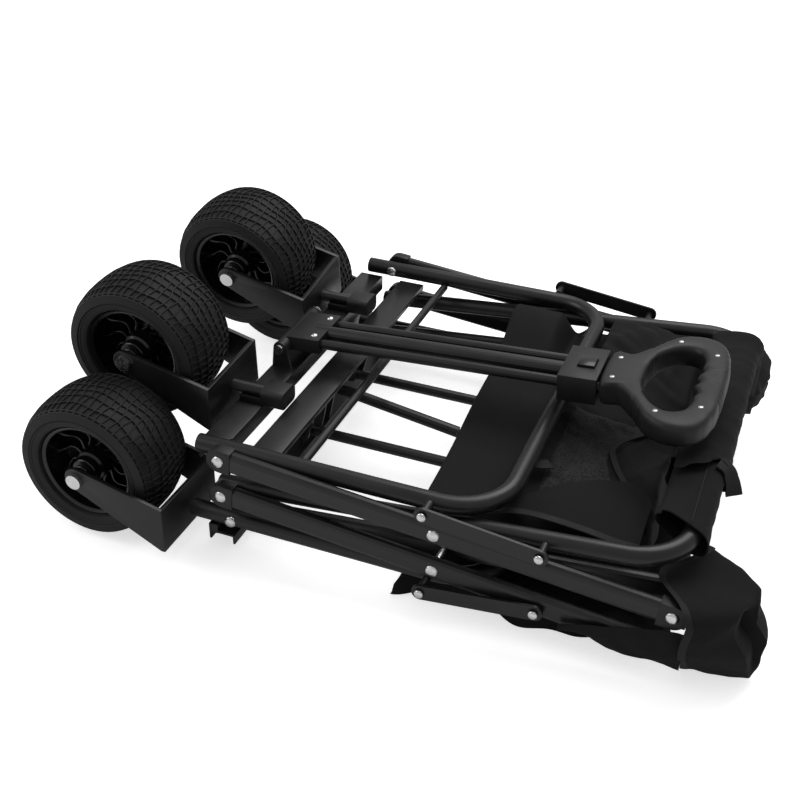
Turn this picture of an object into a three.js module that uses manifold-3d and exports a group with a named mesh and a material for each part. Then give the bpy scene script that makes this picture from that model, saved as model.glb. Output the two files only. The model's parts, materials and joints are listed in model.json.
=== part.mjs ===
// Folding wagon with pull handle, folded flat and lying on its rear end.
// Millimetres. X runs from the wheels to the top rim, Y across the wagon, Z up from the floor.
import * as THREE from 'three';
import { mergeVertices } from 'three/addons/utils/BufferGeometryUtils.js';
import Module from 'manifold-3d';

const wasm = await Module();
wasm.setup();

// ---- driving dimensions ----
const TRACK = 474;            // between the centre lines of a hoop's two legs
const ARM_LENGTH = 486;       // between an arm's end pivots
const WHEEL_R = 89;
const WHEEL_WIDTH = 94;
const HANDLE_LENGTH = 380;    // from the handle pivot to the far end of the lock block

// ---- sections, fits and clearances ----
const GAP = 0.3;              // between pieces that touch
const TUBE_R = 10;
const TUBE_WALL = 1.5;
const ARM_H = 26;
const ARM_T = 13;
const ARM_WALL = 1.6;
const CAP_REACH = 14;         // arm cap on each side of its pivot
const RIVET_R = 4;
const RIVET_HEAD_R = 6.8;
const PLATE = 5;              // fork plate
const AXLE_R = 6;
const ROD_R = 6;
const LAYER_GAP = 2;          // between side-by-side layers of arms
const CELL_CLEAR = 0;         // spare height between the folded arms and tubes of one scissor cell
const HOOP_CLEAR = 4.514;     // under the inner arms where they pass over the rear hoop's bar
const HOOP_BEND = 6.2 * TUBE_R;
const RIM_BEND = 5.5 * TUBE_R;

// ---- derived positions ----
const BOTTOM_X = -156;
const CELL_FOLDED = ARM_H + 2 * TUBE_R + CELL_CLEAR;   // pivot spacing of one scissor cell when folded
const REAR_Z = 46;
const MID_Z = REAR_Z + CELL_FOLDED;
const FRONT_Z = MID_Z + CELL_FOLDED;
const LEAN = Math.asin(CELL_FOLDED / ARM_LENGTH);
// From the bottom pivots to a hoop's top bar: where the inner arms have risen clear of the bar.
const HOOP_HEIGHT = TUBE_R + (ARM_H / 2 / Math.cos(LEAN) + TUBE_R + HOOP_CLEAR) / Math.tan(LEAN);
const TOP_X = BOTTOM_X + ARM_LENGTH * Math.cos(LEAN);
const CROSS_X = BOTTOM_X + ARM_LENGTH * Math.cos(LEAN) / 2;
const LEG_Y = TRACK / 2;
const OUTER_Y = LEG_Y + TUBE_R + LAYER_GAP;            // inner face of the outer arms
const INNER_Y = LEG_Y - TUBE_R - LAYER_GAP;            // outer face of the inner arms
const LINK_Y = OUTER_Y + ARM_T + 4;                    // inner face of the links
const HOOP_X = BOTTOM_X + HOOP_HEIGHT;
const LEG_END_X = BOTTOM_X - 50;
const CROWN_X = BOTTOM_X - 61;
const AXLE_X = BOTTOM_X - 162;
const REAR_AXLE_Z = WHEEL_R;
const REAR_CROWN_Z = REAR_AXLE_Z - 40;
const CASTER_Y = 122;
const CASTER_Z = FRONT_Z + 2;
const CASTER_TRAIL = 40;
const CASTER_TURN = { right: 3, left: 7.5 };           // degrees about X, as parked
const PIVOT_X = BOTTOM_X - 33;
const PIVOT_Z = FRONT_Z + 17;
const PLATE_TOP = FRONT_Z - 9;                         // top of the front cross plate
const BARREL_HALF = 46;                                // half the length of the handle's pivot barrel
const STEM_R = 7.5;
const HANDLE_LEAN = THREE.MathUtils.degToRad(3.8);
const FLOOR_X = BOTTOM_X + 10;                         // hinge of the folding floor frame
const FLOOR_Z = FRONT_Z - 74.5;
const STRUT_X = BOTTOM_X + 6;                         // hinge of the folding floor strut
const STRUT_Z = FRONT_Z - 52;
const STRUT_LEAN = 0.15;
const POCKET = { right: [79, 0, 100], left: [52, 8, 110] };   // reach past the arm pivots, underside and top of each corner pocket

const MATERIALS = {
  paint: new THREE.MeshStandardMaterial({ color: 0x141414, roughness: 0.45, metalness: 0.4 }),
  plastic: new THREE.MeshStandardMaterial({ color: 0x101010, roughness: 0.55, metalness: 0 }),
  gloss: new THREE.MeshStandardMaterial({ color: 0x0c0c0c, roughness: 0.25, metalness: 0 }),
  tyre: new THREE.MeshStandardMaterial({ color: 0x161616, roughness: 0.8, metalness: 0 }),
  steel: new THREE.MeshStandardMaterial({ color: 0xc8c8c8, roughness: 0.3, metalness: 1 }),
  fabric: new THREE.MeshStandardMaterial({ color: 0x121212, roughness: 0.95, metalness: 0 }),
};

const group = new THREE.Group();
const SIDES = [['right', -1], ['left', 1]];

// ---- solid helpers ----
function toManifold(geometry) {
  const g = geometry.clone();
  for (const key of Object.keys(g.attributes)) if (key !== 'position') g.deleteAttribute(key);
  const m = mergeVertices(g, 1e-4);
  const index = m.index ? m.index.array : Uint32Array.from({ length: m.attributes.position.count }, (_, i) => i);
  const keep = [];
  for (let i = 0; i < index.length; i += 3) {
    const [a, b, c] = [index[i], index[i + 1], index[i + 2]];
    if (a !== b && b !== c && a !== c) keep.push(a, b, c);
  }
  return new wasm.Manifold(new wasm.Mesh({
    numProp: 3, vertProperties: Float32Array.from(m.attributes.position.array), triVerts: Uint32Array.from(keep),
  }));
}

function fromManifold(solid) {
  const mesh = solid.getMesh();
  const g = new THREE.BufferGeometry();
  g.setAttribute('position', new THREE.BufferAttribute(Float32Array.from(mesh.vertProperties), 3));
  g.setIndex(new THREE.BufferAttribute(Uint32Array.from(mesh.triVerts), 1));
  g.computeVertexNormals();
  return g;
}

const cut = (base, ...tools) => fromManifold(tools.reduce((s, t) => s.subtract(toManifold(t)), toManifold(base)));
const join = (base, ...parts) => fromManifold(parts.reduce((s, p) => s.add(toManifold(p)), toManifold(base)));

function put(name, geometry, material) {
  const mesh = new THREE.Mesh(geometry, MATERIALS[material]);
  mesh.name = name;
  group.add(mesh);
}

const box = (x0, x1, y0, y1, z0, z1) =>
  new THREE.BoxGeometry(x1 - x0, y1 - y0, z1 - z0).translate((x0 + x1) / 2, (y0 + y1) / 2, (z0 + z1) / 2);

const rodY = (r, y0, y1, x, z, n = 20) =>
  new THREE.CylinderGeometry(r, r, y1 - y0, n).translate(x, (y0 + y1) / 2, z);

const rodX = (r, x0, x1, y, z, n = 20) =>
  new THREE.CylinderGeometry(r, r, x1 - x0, n).rotateZ(-Math.PI / 2).translate((x0 + x1) / 2, y, z);

// Extrusion of an XZ outline through y0..y1.
function slabY(shape, y0, y1, segments = 6) {
  return new THREE.ExtrudeGeometry(shape, { depth: y1 - y0, bevelEnabled: false, curveSegments: segments })
    .rotateX(Math.PI / 2).translate(0, y1, 0);
}

// Convex outline around a set of points.
function hullShape(points) {
  const p = points.map((v) => [...v]).sort((a, b) => a[0] - b[0] || a[1] - b[1]);
  const side = (list) => {
    const out = [];
    for (const q of list) {
      while (out.length > 1) {
        const [a, b] = out.slice(-2);
        if ((b[0] - a[0]) * (q[1] - a[1]) - (b[1] - a[1]) * (q[0] - a[0]) > 1e-9) break;
        out.pop();
      }
      out.push(q);
    }
    return out.slice(0, -1);
  };
  const ring = [...side(p), ...side([...p].reverse())];
  return new THREE.Shape(ring.map(([x, z]) => new THREE.Vector2(x, z)));
}

const circlePoints = (x, z, r, n = 20) =>
  Array.from({ length: n }, (_, i) => [x + r * Math.cos(2 * Math.PI * i / n), z + r * Math.sin(2 * Math.PI * i / n)]);

// Tube following points that lie in one plane with the given binormal; hollow when wall > 0.
function bentTube(points, binormal, r, wall, n = 14) {
  const pos = [];
  const idx = [];
  const skins = wall > 0 ? [r, r - wall] : [r];
  const last = points.length - 1;
  for (const radius of skins) {
    points.forEach((p, i) => {
      const a = points[Math.max(i - 1, 0)];
      const b = points[Math.min(i + 1, last)];
      const tangent = b.clone().sub(a).normalize();
      const normal = new THREE.Vector3().crossVectors(binormal, tangent).normalize();
      const into = i === 0 ? null : p.clone().sub(points[i - 1]).normalize();
      const stretch = into && i < last ? 1 / Math.max(0.5, into.dot(tangent)) : 1;
      for (let k = 0; k < n; k += 1) {
        const t = 2 * Math.PI * k / n;
        const v = p.clone().addScaledVector(normal, radius * stretch * Math.cos(t)).addScaledVector(binormal, radius * Math.sin(t));
        pos.push(v.x, v.y, v.z);
      }
    });
  }
  const ring = (skin, i) => (skin * points.length + i) * n;
  const quad = (a, b, c, d) => idx.push(a, b, c, a, c, d);
  skins.forEach((_, s) => {
    for (let i = 0; i < last; i += 1) {
      for (let k = 0; k < n; k += 1) {
        const j = (k + 1) % n;
        const q = [ring(s, i) + k, ring(s, i) + j, ring(s, i + 1) + j, ring(s, i + 1) + k];
        if (s === 0) quad(...q); else quad(...q.reverse());
      }
    }
  });
  for (const [i, flip] of [[0, false], [last, true]]) {
    for (let k = 0; k < n; k += 1) {
      const j = (k + 1) % n;
      if (skins.length === 2) {
        const q = [ring(0, i) + j, ring(0, i) + k, ring(1, i) + k, ring(1, i) + j];
        if (flip) quad(...q.reverse()); else quad(...q);
      } else if (k > 0 && k < n - 1) {
        const t = [ring(0, i), ring(0, i) + k + 1, ring(0, i) + k];
        idx.push(...(flip ? t.reverse() : t));
      }
    }
  }
  const g = new THREE.BufferGeometry();
  g.setAttribute('position', new THREE.Float32BufferAttribute(pos, 3));
  g.setIndex(idx);
  g.computeVertexNormals();
  return g;
}

// Centre line of a hoop in its own plane: two legs joined by a bar with round corners.
function hoopPath(x0, x1, halfWidth, corner, lift, steps = 6) {
  const pts = [];
  const at = (x, y) => pts.push(new THREE.Vector3(x, y, lift(x)));
  at(x0, -halfWidth);
  for (let i = 0; i <= steps; i += 1) {
    const t = (i / steps) * Math.PI / 2;
    at(x1 - corner + corner * Math.sin(t), -halfWidth + corner - corner * Math.cos(t));
  }
  for (let i = steps; i >= 0; i -= 1) {
    const t = (i / steps) * Math.PI / 2;
    at(x1 - corner + corner * Math.sin(t), halfWidth - corner + corner * Math.cos(t));
  }
  at(x0, halfWidth);
  return pts;
}

// Place a piece drawn along +X at (x, z), turned by angle towards +Z.
const lay = (geometry, x, z, angle) => geometry.rotateY(-angle).translate(x, 0, z);

// ---- hoops and cross members ----
function level(z) { return () => z; }

function buildHoops() {
  const up = new THREE.Vector3(0, 0, 1);
  const bolt = (x, z, y0, y1) => rodY(RIVET_R + GAP, y0, y1, x, z, 12);
  for (const [name, z, x0] of [['front_hoop', FRONT_Z, LEG_END_X + 14], ['rear_hoop', REAR_Z, LEG_END_X]]) {
    const tube = bentTube(hoopPath(x0, HOOP_X, LEG_Y, HOOP_BEND, level(z)), up, TUBE_R, TUBE_WALL);
    const holes = SIDES.map(([, s]) => bolt(BOTTOM_X, z, ...[s * (LEG_Y - 14), s * (LEG_Y + 14)].sort((a, b) => a - b)));
    put(name, cut(tube, ...holes), 'paint');
  }
  const path = hoopPath(BOTTOM_X - 12, TOP_X, LEG_Y, RIM_BEND, (x) => MID_Z + (x - BOTTOM_X) * Math.tan(LEAN));
  const tilt = new THREE.Vector3(-Math.sin(LEAN), 0, Math.cos(LEAN));
  const midpoint = [CROSS_X, (MID_Z + FRONT_Z) / 2];
  const holes = SIDES.flatMap(([, s]) => [[BOTTOM_X, MID_Z], midpoint].map(([x, z]) =>
    bolt(x, z, ...[s * (LEG_Y - 14), s * (LEG_Y + 14)].sort((a, b) => a - b))));
  put('upper_hoop', cut(bentTube(path, tilt, TUBE_R, TUBE_WALL), ...holes), 'paint');
}

// Block along X with round upper and lower edges, y half-width a and z half-height b.
function roundedBlock(x0, x1, y, z, a, b) {
  const pts = [];
  for (const [sy, sz, from] of [[1, 1, 0], [-1, 1, 1], [-1, -1, 2], [1, -1, 3]]) {
    for (let i = 0; i <= 4; i += 1) {
      const t = (from + i / 4) * Math.PI / 2;
      pts.push(new THREE.Vector2(-(z + sz * (b - 6) + 6 * Math.sin(t)), y + sy * (a - 6) + 6 * Math.cos(t)));
    }
  }
  return new THREE.ExtrudeGeometry(new THREE.Shape(pts), { depth: x1 - x0, bevelEnabled: false })
    .rotateY(Math.PI / 2).translate(x0, 0, 0);
}

// Open channel across the wagon between the hoop's legs.
function channel(x0, x1, z0, z1, halfWidth, wall, open) {
  const [c0, c1] = open > 0 ? [z0 + wall, z1 + 1] : [z0 - 1, z1 - wall];
  return cut(box(x0, x1, -halfWidth, halfWidth, z0, z1), box(x0 + wall, x1 - wall, -halfWidth - 1, halfWidth + 1, c0, c1));
}

function buildCrossMembers() {
  const half = LEG_Y - TUBE_R - GAP;
  const [x0, x1] = [BOTTOM_X - 45, BOTTOM_X - 13];
  const ear = hullShape([[x0 + 1, PLATE_TOP - 1], [x0 + 27, PLATE_TOP - 1], ...circlePoints(PIVOT_X, PIVOT_Z, 8.5, 20)]);
  const ears = SIDES.map(([, s]) => slabY(ear, ...(s > 0 ? [BARREL_HALF + GAP, BARREL_HALF + 4] : [-BARREL_HALF - 4, -BARREL_HALF - GAP])));
  const plate = join(channel(x0, x1, PLATE_TOP - 20, PLATE_TOP, half, 3, -1), ...ears);
  const pinHole = rodY(4 + GAP, -BARREL_HALF - 8, BARREL_HALF + 8, PIVOT_X, PIVOT_Z, 14);
  put('front_cross_plate', cut(plate, pinHole), 'paint');
  put('front_brace_rod', rodY(5, -half, half, BOTTOM_X + 78, FRONT_Z - 8, 16), 'paint');
  const hanger = hullShape([[BOTTOM_X + 17, FRONT_Z - 12], [BOTTOM_X + 36, FRONT_Z - 12], ...circlePoints(FLOOR_X, FLOOR_Z, 9, 16)]);
  const hangers = SIDES.map(([, s]) => slabY(hanger, ...(s > 0 ? [81, 85] : [-85, -81])));
  const hangerPins = rodY(4 + GAP, -90, 90, FLOOR_X, FLOOR_Z, 14);
  const bar = channel(BOTTOM_X + 16, BOTTOM_X + 50, FRONT_Z - 14, FRONT_Z - 7, half - 6, 2.5, -1);
  put('front_crossbar', cut(join(bar, ...hangers), hangerPins), 'paint');
  const barTop = REAR_Z - ARM_H / 2 - 6;
  const horn = hullShape([[BOTTOM_X - 22, barTop - 2], [BOTTOM_X + 2, barTop - 2], ...circlePoints(STRUT_X, STRUT_Z, 8, 16)]);
  const horns = SIDES.map(([, s]) => slabY(horn, ...(s > 0 ? [10, 14] : [-14, -10])));
  const rearBar = channel(BOTTOM_X - 28, BOTTOM_X + 4, barTop - 12, barTop, LEG_Y + 9, 2.5, -1);
  const feet = SIDES.map(([, s]) => box(BOTTOM_X - 28, BOTTOM_X - 17, ...(s > 0 ? [LEG_Y - 8, LEG_Y + 9] : [-LEG_Y - 9, -LEG_Y + 8]), barTop - 3, REAR_Z - TUBE_R - GAP));
  put('rear_crossbar', cut(join(rearBar, ...feet, ...horns), rodY(4 + GAP, -20, 20, STRUT_X, STRUT_Z, 14)), 'paint');
  for (const [side, s] of SIDES) {
    const block = roundedBlock(BOTTOM_X - 14, BOTTOM_X + 14, s * CASTER_Y, CASTER_Z, 17, 10.6);
    const foot = box(x0 + 2, BOTTOM_X - 2, s * CASTER_Y - 12, s * CASTER_Y + 12, PLATE_TOP + GAP, PLATE_TOP + 7);
    const bore = rodX(STEM_R + GAP, CROWN_X - 10, BOTTOM_X + 7, s * CASTER_Y, CASTER_Z, 20);
    put(`swivel_housing_${side}`, cut(join(block, foot), bore), 'plastic');
  }
}

// ---- forks, axles and wheels ----
// Bent fork plate with its crown at CROWN_X and its hub at AXLE_X, drawn about Y = 0.
function forkSolid(crownZ, hubZ) {
  const half = WHEEL_WIDTH / 2 + 5;
  const leg = hullShape([[CROWN_X, crownZ - 28], [CROWN_X, crownZ + 28], [CROWN_X + PLATE, crownZ - 28],
    [CROWN_X + PLATE, crownZ + 28], ...circlePoints(AXLE_X, hubZ, 14)]);
  const crown = box(CROWN_X, CROWN_X + PLATE, -half - PLATE, half + PLATE, crownZ - 28, crownZ + 28);
  const legs = [slabY(leg, half, half + PLATE), slabY(leg, -half - PLATE, -half)];
  return cut(join(crown, ...legs), rodY(AXLE_R + GAP, -half - 9, half + 9, AXLE_X, hubZ, 16));
}

function axleSolid(hubZ) {
  const half = WHEEL_WIDTH / 2 + 5 + PLATE + GAP;
  const shank = rodY(AXLE_R, -half - 1, half + 1, AXLE_X, hubZ, 16);
  return join(shank, rodY(9, half, half + 5, AXLE_X, hubZ, 16), rodY(9, -half - 5, -half, AXLE_X, hubZ, 16));
}

function tyreSolid(hubZ) {
  const w = WHEEL_WIDTH / 2;
  const rim = 0.64 * WHEEL_R + GAP;
  const profile = [[rim, -w + 9], [WHEEL_R - 15, -w], [WHEEL_R - 4, -w + 8], [WHEEL_R, -w + 26], [WHEEL_R, w - 26],
    [WHEEL_R - 4, w - 8], [WHEEL_R - 15, w], [rim, w - 9], [rim, -w + 9]].map(([x, y]) => new THREE.Vector2(x, y));
  return new THREE.LatheGeometry(profile, 40).translate(AXLE_X, 0, hubZ);
}

function rimSolid(hubZ) {
  const w = WHEEL_WIDTH / 2;
  const r = 0.64 * WHEEL_R;
  const profile = [[AXLE_R + GAP, -w + 2], [14, -w + 2], [20, -5], [r - 9, -3], [r - 4, -w + 10], [r, -w + 10],
    [r, w - 10], [r - 4, w - 10], [r - 9, 3], [20, 5], [14, w - 2], [AXLE_R + GAP, w - 2], [AXLE_R + GAP, -w + 2]]
    .map(([x, y]) => new THREE.Vector2(x, y));
  return new THREE.LatheGeometry(profile, 36).translate(AXLE_X, 0, hubZ);
}

function buildRunningGear() {
  const hub = CASTER_Z + CASTER_TRAIL;
  for (const [side, s] of SIDES) {
    put(`rear_fork_${side}`, forkSolid(REAR_CROWN_Z, REAR_AXLE_Z).translate(0, s * LEG_Y, 0), 'paint');
    put(`rear_axle_${side}`, axleSolid(REAR_AXLE_Z).translate(0, s * LEG_Y, 0), 'steel');
    put(`rear_tyre_${side}`, tyreSolid(REAR_AXLE_Z).translate(0, s * LEG_Y, 0), 'tyre');
    put(`rear_rim_${side}`, rimSolid(REAR_AXLE_Z).translate(0, s * LEG_Y, 0), 'gloss');
    const stem = rodX(STEM_R, CROWN_X + 1, BOTTOM_X + 5, 0, CASTER_Z, 20);
    const turn = THREE.MathUtils.degToRad(CASTER_TURN[side]);
    const park = (g) => g.translate(0, 0, -CASTER_Z).rotateX(turn).translate(0, s * CASTER_Y, CASTER_Z);
    put(`caster_fork_${side}`, park(join(forkSolid(CASTER_Z, hub), stem)), 'paint');
    put(`caster_axle_${side}`, park(axleSolid(hub)), 'steel');
    put(`caster_tyre_${side}`, park(tyreSolid(hub)), 'tyre');
    put(`caster_rim_${side}`, park(rimSolid(hub)), 'gloss');
  }
}

// ---- scissor arms, caps, rivets and links ----
// Hollow flat-oval bar along +X from x0 to x1, occupying y0..y1.
function ovalBar(x0, x1, y0, y1, height, wall) {
  const outline = (h, t) => {
    const pts = [];
    const n = 6;
    for (let i = 0; i <= n; i += 1) pts.push([(h - t) / 2 + (t / 2) * Math.sin(Math.PI * i / n), (t / 2) * Math.cos(Math.PI * i / n)]);
    for (let i = 0; i <= n; i += 1) pts.push([-(h - t) / 2 - (t / 2) * Math.sin(Math.PI * i / n), -(t / 2) * Math.cos(Math.PI * i / n)]);
    return pts.map(([u, v]) => new THREE.Vector2(u, v));
  };
  const shape = new THREE.Shape(outline(height, y1 - y0));
  if (wall > 0) shape.holes.push(new THREE.Path(outline(height - 2 * wall, y1 - y0 - 2 * wall).reverse()));
  return new THREE.ExtrudeGeometry(shape, { depth: x1 - x0, bevelEnabled: false })
    .rotateY(Math.PI / 2).translate(x0, (y0 + y1) / 2, 0);
}

// Arm of full length with its first pivot at X = 0; capped ends stop short of the pivot.
function armSolid(y0, y1, capStart) {
  const start = capStart ? CAP_REACH + GAP : -CAP_REACH;
  const bar = ovalBar(start, ARM_LENGTH + CAP_REACH, y0, y1, ARM_H, ARM_WALL);
  const pivots = [0, ARM_LENGTH / 2, ARM_LENGTH].filter((x) => x > start)
    .map((x) => rodY(RIVET_R + GAP, y0 - 1, y1 + 1, x, 0, 12));
  return cut(bar, ...pivots);
}

function capSolid(y0, y1) {
  const outline = hullShape([...circlePoints(0, 0, ARM_H / 2 + 1, 24), [CAP_REACH, ARM_H / 2 + 1], [CAP_REACH, -ARM_H / 2 - 1]]);
  const tongue = box(CAP_REACH - 2, CAP_REACH + 14, y0 + ARM_WALL + 1, y1 - ARM_WALL - 1, -ARM_H / 2 + 5, ARM_H / 2 - 5);
  return cut(join(slabY(outline, y0 - 0.5, y1 + 0.5), tongue), rodY(RIVET_R + GAP, y0 - 2, y1 + 2, 0, 0, 12));
}

// Rivet from yIn to yOut with a domed head beyond each end.
function rivetSolid(yIn, yOut) {
  const dome = (y, out) => new THREE.LatheGeometry([[0, 0], [RIVET_HEAD_R, 0], [RIVET_HEAD_R - 0.8, 1.4], [3, 2.4], [0, 2.6]]
    .map(([x, z]) => new THREE.Vector2(x, z)), 16).rotateX(out > 0 ? 0 : Math.PI).translate(0, y, 0);
  return join(rodY(RIVET_R, yIn - 0.5, yOut + 0.5, 0, 0, 14), dome(yOut + GAP, 1), dome(yIn - GAP, -1));
}

function buildArms() {
  const y0 = OUTER_Y;
  const y1 = OUTER_Y + ARM_T;
  const span = (s, a, b) => (s > 0 ? [a, b] : [-b, -a]);
  for (const [side, s] of SIDES) {
    const outer = span(s, y0, y1);
    const inner = span(s, INNER_Y - ARM_T, INNER_Y);
    put(`front_arm_${side}`, lay(armSolid(...outer, true), BOTTOM_X, FRONT_Z, -LEAN), 'paint');
    put(`front_arm_cap_${side}`, lay(capSolid(...outer), BOTTOM_X, FRONT_Z, -LEAN), 'plastic');
    put(`rear_arm_${side}`, lay(armSolid(...outer, true), BOTTOM_X, MID_Z, -LEAN), 'paint');
    put(`rear_arm_cap_${side}`, lay(capSolid(...outer), BOTTOM_X, MID_Z, -LEAN), 'plastic');
    put(`inner_arm_${side}`, lay(armSolid(...inner, false), BOTTOM_X, REAR_Z, LEAN), 'paint');
    const crossed = span(s, LEG_Y - TUBE_R, y1);
    put(`front_cross_rivet_${side}`, rivetSolid(...crossed).translate(CROSS_X, 0, (MID_Z + FRONT_Z) / 2), 'steel');
    const through = span(s, INNER_Y - ARM_T, y1);
    put(`rear_cross_rivet_${side}`, rivetSolid(...through).translate(CROSS_X, 0, (REAR_Z + MID_Z) / 2), 'steel');
    const foot = span(s, LEG_Y - TUBE_R, y1 + 0.5);
    put(`front_foot_rivet_${side}`, rivetSolid(...foot).translate(BOTTOM_X, 0, FRONT_Z), 'steel');
  }
}

// Steering links between a hoop leg and the arm that crosses it.
const LINK_REACH = 132;                        // from the arm's top pivot to the link's pivot on it
const LINK_X = BOTTOM_X + 232;                 // pivot on the hoop leg
function linkEnds(up) {
  const hoopZ = up ? FRONT_Z + 4 : REAR_Z - 4;
  const armX = TOP_X - LINK_REACH * Math.cos(LEAN);
  const armZ = up ? FRONT_Z - LINK_REACH * Math.sin(LEAN) + 2 : REAR_Z + LINK_REACH * Math.sin(LEAN) - 2;
  return { hoopZ, armX, armZ };
}

function buildLinks() {
  for (const [side, s] of SIDES) {
    for (const [name, up] of [['front_link', true], ['rear_link', false]]) {
      const { hoopZ, armX, armZ } = linkEnds(up);
      const span = (a, b) => (s > 0 ? [a, b] : [-b, -a]);
      const outline = hullShape([...circlePoints(LINK_X, hoopZ, 9), ...circlePoints(armX, armZ, 9)]);
      const hoopBoss = rodY(4.5, ...span(LEG_Y + TUBE_R + GAP, LINK_Y + 5.5), LINK_X, hoopZ, 16);
      const armFace = up ? LEG_Y + TUBE_R + GAP : OUTER_Y + ARM_T + GAP;
      const armBoss = rodY(4, ...span(armFace, LINK_Y + 5.5), armX, armZ, 16);
      put(`${name}_${side}`, join(slabY(outline, ...span(LINK_Y, LINK_Y + 3)), hoopBoss, armBoss), 'paint');
    }
  }
}

// ---- folding floor ----
function buildFloor() {
  const up = new THREE.Vector3(0, 0, 1);
  const frame = bentTube(hoopPath(FLOOR_X, FLOOR_X + 306, 70, 22, level(FLOOR_Z), 4), up, 6.5, 0, 12);
  const pins = SIDES.map(([, s]) => rodY(4, ...(s > 0 ? [70, 87] : [-87, -70]), FLOOR_X, FLOOR_Z, 14));
  const eyes = SIDES.map(([, s]) => rodY(7.5, ...(s > 0 ? [62, 79] : [-79, -62]), FLOOR_X, FLOOR_Z, 16));
  put('floor_frame', join(frame, ...pins, ...eyes), 'paint');
  const bar = ovalBar(0, 176, -7, 7, 14, 0);
  put('floor_strut', lay(join(bar, rodY(7.5, -9, 9, 0, 0, 16), rodY(4, -16, 16, 0, 0, 14)), STRUT_X, STRUT_Z, -STRUT_LEAN), 'paint');
}

// ---- pull handle: drawn along +X from its pivot at the origin, then laid in place ----
function gripSolid(x0) {
  const pts = [[0, -34], [20, -36], [37, -54], [60, -88], [80, -101], [104, -100], [119, -87], [127, -62], [130, -30], [130.5, 0]];
  const ring = [...pts, ...pts.slice(0, -1).reverse().map(([x, y]) => [x, -y])];
  const curve = new THREE.CatmullRomCurve3(ring.map(([x, y]) => new THREE.Vector3(x, y, 0)), true, 'catmullrom', 0.5);
  const outer = curve.getPoints(38).slice(0, -1).map((v) => new THREE.Vector2(x0 + v.x, v.y));
  const inside = [[45, -24], [56, -52], [76, -69], [95, -62], [102, -34], [99, 0]];
  const hole = [...inside, ...inside.slice(0, -1).reverse().map(([x, y]) => [x, -y])];
  const holeCurve = new THREE.CatmullRomCurve3(hole.map(([x, y]) => new THREE.Vector3(x, y, 0)), true, 'catmullrom', 0.5);
  const inner = holeCurve.getPoints(28).slice(0, -1).map((v) => new THREE.Vector2(x0 + v.x, v.y));
  const shape = new THREE.Shape(outer);
  shape.holes.push(new THREE.Path(inner.reverse()));
  return new THREE.ExtrudeGeometry(shape, { depth: 22, bevelEnabled: true, bevelThickness: 4, bevelSize: 4, bevelOffset: -4, bevelSegments: 2 })
    .translate(0, 0, -11);
}

function buildHandle() {
  const place = (g) => lay(g, PIVOT_X, PIVOT_Z, HANDLE_LEAN);
  const L = HANDLE_LENGTH;
  const rodY0 = 25;
  const head = BARREL_HALF + 4 + GAP;
  put('handle_pivot_pin', join(rodY(4, -head - 1, head + 1, PIVOT_X, PIVOT_Z, 14), rodY(6, -head - 4, -head, PIVOT_X, PIVOT_Z, 14),
    rodY(6, head, head + 4, PIVOT_X, PIVOT_Z, 14)), 'steel');
  const barrel = rodY(8, -BARREL_HALF, BARREL_HALF, 0, 0, 20);
  const fork = box(2, 44, -34, 34, -9, 9);
  const sockets = [-1, 1].map((s) => rodX(ROD_R + GAP, 18, 50, s * rodY0, 0, 16));
  const slot = rodX(TUBE_R + GAP, 26, 50, 0, 0, 20);
  put('handle_yoke', place(cut(join(barrel, fork), ...sockets, slot, rodY(4 + GAP, -BARREL_HALF - 2, BARREL_HALF + 2, 0, 0, 14))), 'plastic');
  const lockStart = L - 44;
  put('handle_tube', place(cut(rodX(TUBE_R, 26 + GAP, lockStart + 8, 0, 0, 20), rodX(TUBE_R - 1.5, 20, lockStart + 12, 0, 0, 20))), 'paint');
  const block = box(lockStart, L, -36, 36, -18, 14);
  const bores = [-1, 1].map((s) => rodX(ROD_R + GAP, lockStart - 2, L + 2, s * rodY0, 0, 16));
  const seat = rodX(TUBE_R + GAP, lockStart - 2, lockStart + 8 + GAP, 0, 0, 20);
  const window = box(lockStart + 16, L - 8, -11, 11, 4, 20);
  put('handle_lock_block', place(cut(block, ...bores, seat, window)), 'plastic');
  put('handle_lock_button', place(box(lockStart + 16 + GAP, L - 8 - GAP, -11 + GAP, 11 - GAP, 8, 17)), 'gloss');
  for (const [side, s] of SIDES) {
    put(`handle_rod_${side}`, place(rodX(ROD_R, 18 + 2 * GAP, L + 26, s * rodY0, 0, 16)), 'paint');
  }
  const grip = gripSolid(L + 3);
  const pockets = [-1, 1].map((s) => rodX(ROD_R + GAP, L, L + 26 + GAP, s * rodY0, 0, 16));
  put('handle_grip', place(cut(grip, ...pockets)), 'plastic');
}

// ---- folded fabric tub ----
function softBlock(x0, x1, y0, y1, z0, z1, r) {
  const shape = new THREE.Shape();
  const c = r;
  shape.moveTo(x0 + c, z0);
  shape.lineTo(x1 - c, z0);
  shape.quadraticCurveTo(x1, z0, x1, z0 + c);
  shape.lineTo(x1, z1 - c);
  shape.quadraticCurveTo(x1, z1, x1 - c, z1);
  shape.lineTo(x0 + c, z1);
  shape.quadraticCurveTo(x0, z1, x0, z1 - c);
  shape.lineTo(x0, z0 + c);
  shape.quadraticCurveTo(x0, z0, x0 + c, z0);
  return slabY(shape, y0, y1, 3);
}

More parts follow.
